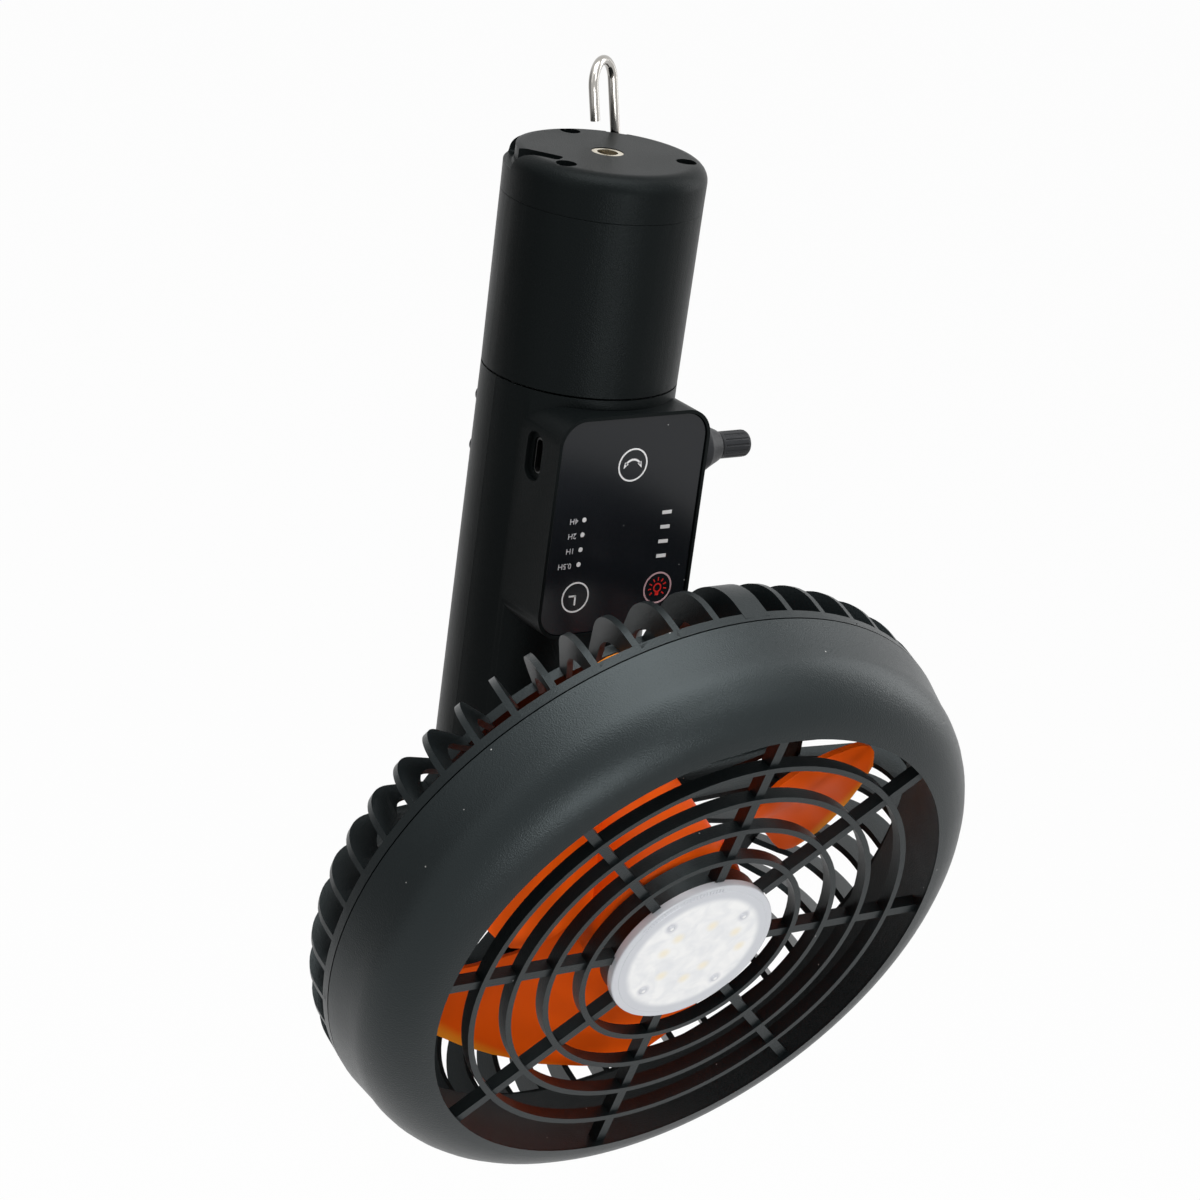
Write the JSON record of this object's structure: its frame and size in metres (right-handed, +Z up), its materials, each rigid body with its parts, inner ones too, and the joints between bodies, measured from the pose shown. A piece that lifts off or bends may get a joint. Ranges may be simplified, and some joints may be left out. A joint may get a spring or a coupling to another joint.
{
  "type": "hanging camping fan",
  "caption": "Cordless camping fan with a lamp: round tilting head on a swivelling battery tube, with a control box, a speed knob, a folding hook and a tripod socket.",
  "frame": {"origin": "top of the folding hook's bend, on its inner side, where the fan hangs", "axes": "+Z up along the tube's axis towards the hook; -Y to the front, where the control box and the fan head face; +X towards the speed knob"},
  "size_m": [0.1764, 0.131, 0.2797],
  "materials": {
    "body_plastic": "fine texture",
    "head_plastic": "fine texture",
    "blade_plastic": "satin",
    "panel_plastic": "gloss",
    "lens_plastic": "frosted",
    "knob_plastic": "matte",
    "bright_steel": "polished",
    "dark_screw": "blackened",
    "nickel": "nickel plated",
    "motor_case": "plain",
    "cell_wrap": "shrink wrap over the cell",
    "inner_plastic": "plain",
    "board": "solder mask",
    "lamp_board": "white solder mask with yellow diodes"
  },
  "bodies": {
    "base": {"base_cap": "body_plastic", "base_tube": "body_plastic", "tripod_socket": "nickel", "base_screws": "bright_steel", "hook_pin": "bright_steel", "swing_motor": "motor_case"},
    "hook": {"hook": "bright_steel"},
    "column": {"swivel_plate": "inner_plastic", "swivel_ring": "bright_steel", "housing_front": "body_plastic", "housing_rear": "body_plastic", "housing_screws": "dark_screw", "control_panel": "panel_plastic", "control_board": "board", "usb_socket": "bright_steel", "knob_collar": "body_plastic", "speed_pot": "inner_plastic", "battery_cells": "cell_wrap", "battery_frame": "inner_plastic", "neck_yoke": "body_plastic", "tilt_pin": "bright_steel"},
    "knob": {"speed_knob": "knob_plastic"},
    "head": {"neck_arm": "body_plastic", "neck_screws": "dark_screw", "rear_cage": "head_plastic", "front_guard": "head_plastic", "led_board": "lamp_board", "led_lens": "lens_plastic", "led_screws": "bright_steel", "fan_motor": "motor_case"},
    "rotor": {"motor_shaft": "bright_steel", "fan_blades": "blade_plastic"}
  },
  "joints": [
    {"name": "hook_fold", "type": "hinge", "parent": "base", "child": "hook", "pos_m": [0.00778, 0.0008, -0.02041], "axis": [-0.766, 0.6428, 0], "range_deg": [-12, 88]},
    {"name": "swing", "type": "hinge", "parent": "base", "child": "column", "pos_m": [-0.00713, -0.01698, -0.07421], "axis": [0, 0, 1], "range_deg": [-45, 45]},
    {"name": "speed", "type": "hinge", "parent": "column", "child": "knob", "pos_m": [0.01567, -0.03798, -0.08971], "axis": [1, 0, 0], "range_deg": [0, 270]},
    {"name": "head_tilt", "type": "hinge", "parent": "column", "child": "head", "pos_m": [-0.00713, -0.02498, -0.18841], "axis": [1, 0, 0], "range_deg": [-14, 69.5]},
    {"name": "fan_spin", "type": "hinge", "parent": "head", "child": "rotor", "pos_m": [-0.00713, -0.07784, -0.19361], "axis": [0, -0.937, -0.3494], "continuous": true}
  ]
}
